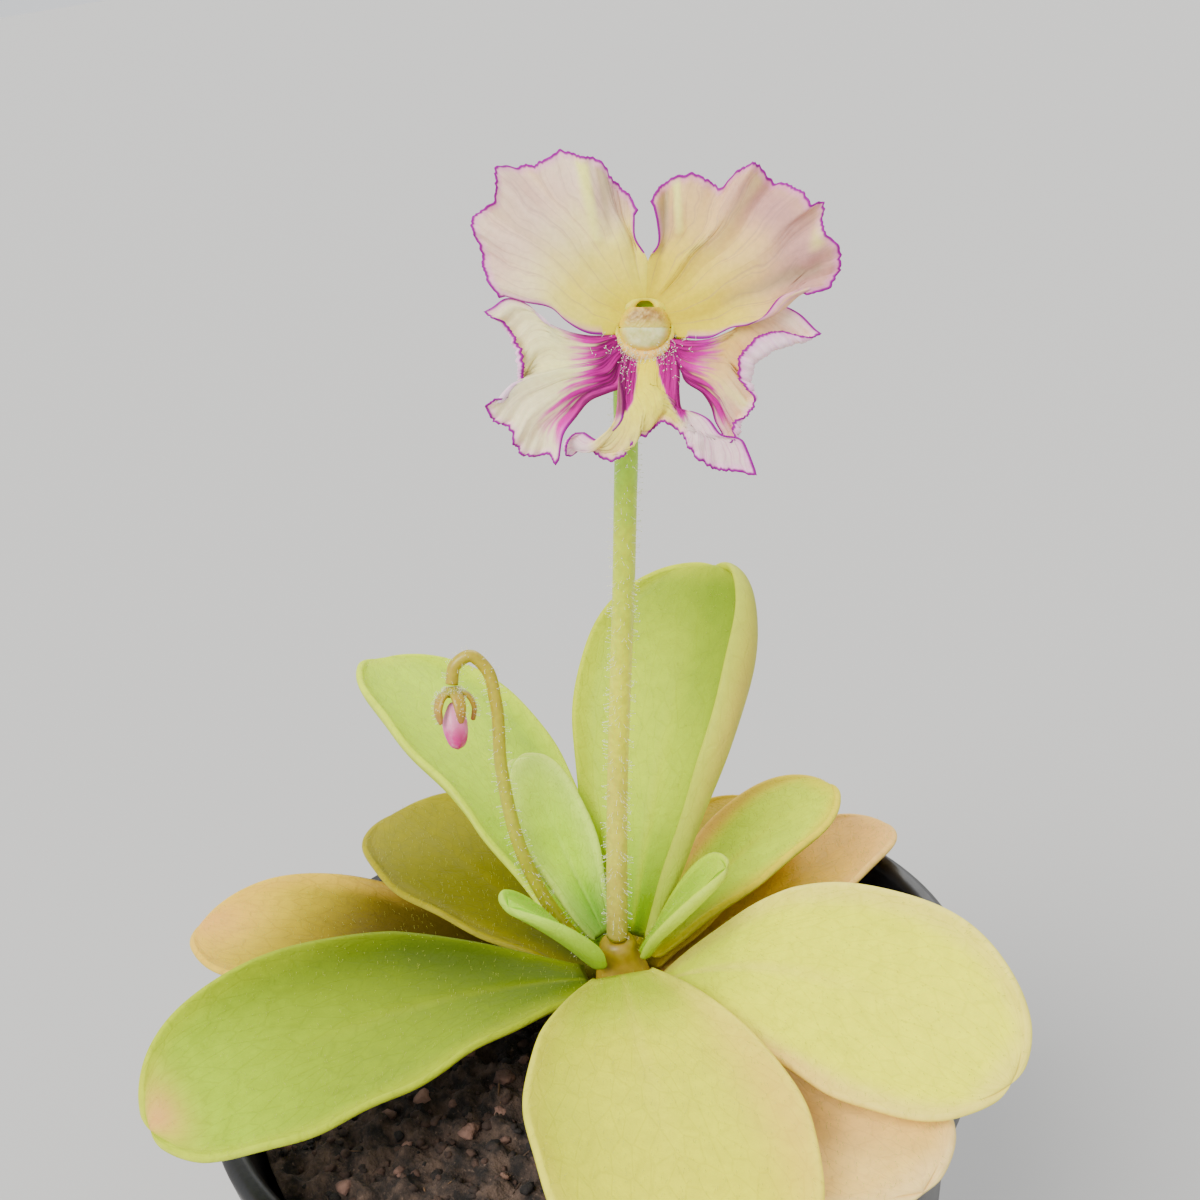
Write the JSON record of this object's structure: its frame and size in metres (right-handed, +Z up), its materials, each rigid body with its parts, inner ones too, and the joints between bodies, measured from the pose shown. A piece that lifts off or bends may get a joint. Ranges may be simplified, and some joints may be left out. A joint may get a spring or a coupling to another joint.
{
  "type": "potted butterwort",
  "caption": "Butterwort with a rosette of fleshy spoon-shaped leaves, one open ruffled pink flower on a slender stalk and a nodding bud, rooted in peat in a round black pot.",
  "frame": {"origin": "centre of the pot's flat base", "axes": "+Z up along the pot's axis, -Y towards the side that the open flower faces, +X to the right as seen from in front"},
  "size_m": [0.0836, 0.0873, 0.1578],
  "materials": {
    "pot_plastic": "satin black",
    "peat": "rough",
    "crown_green": "soft",
    "leaf_fresh": "greasy sheen",
    "leaf_pale": "greasy sheen",
    "leaf_peach": "greasy sheen",
    "leaf_olive": "greasy sheen",
    "leaf_mint": "greasy sheen",
    "leaf_young": "greasy sheen",
    "scape": "finely hairy",
    "calyx_green": "finely hairy",
    "petal": "soft",
    "stigma": "moist",
    "anthers": "soft",
    "bud_stalk": "finely hairy",
    "bud_calyx": "finely hairy",
    "bud_petals": "soft"
  },
  "bodies": {
    "root": {"anthers": "anthers", "bud_calyx": "bud_calyx", "bud_petals": "bud_petals", "bud_scape": "bud_stalk", "calyx": "calyx_green", "corolla": "petal", "crown": "crown_green", "leaf_back_left": "leaf_fresh", "leaf_back_low": "leaf_olive", "leaf_back_right": "leaf_fresh", "leaf_inner_back": "leaf_mint", "leaf_inner_left": "leaf_young", "leaf_inner_right": "leaf_young", "leaf_left": "leaf_fresh", "leaf_near": "leaf_pale", "leaf_old_back": "leaf_olive", "leaf_old_back_right": "leaf_peach", "leaf_old_left": "leaf_peach", "leaf_old_right": "leaf_peach", "leaf_olive": "leaf_olive", "leaf_right": "leaf_pale", "leaf_tall": "leaf_fresh", "pot": "pot_plastic", "scape": "scape", "soil": "peat", "stigma": "stigma"}
  },
  "joints": []
}
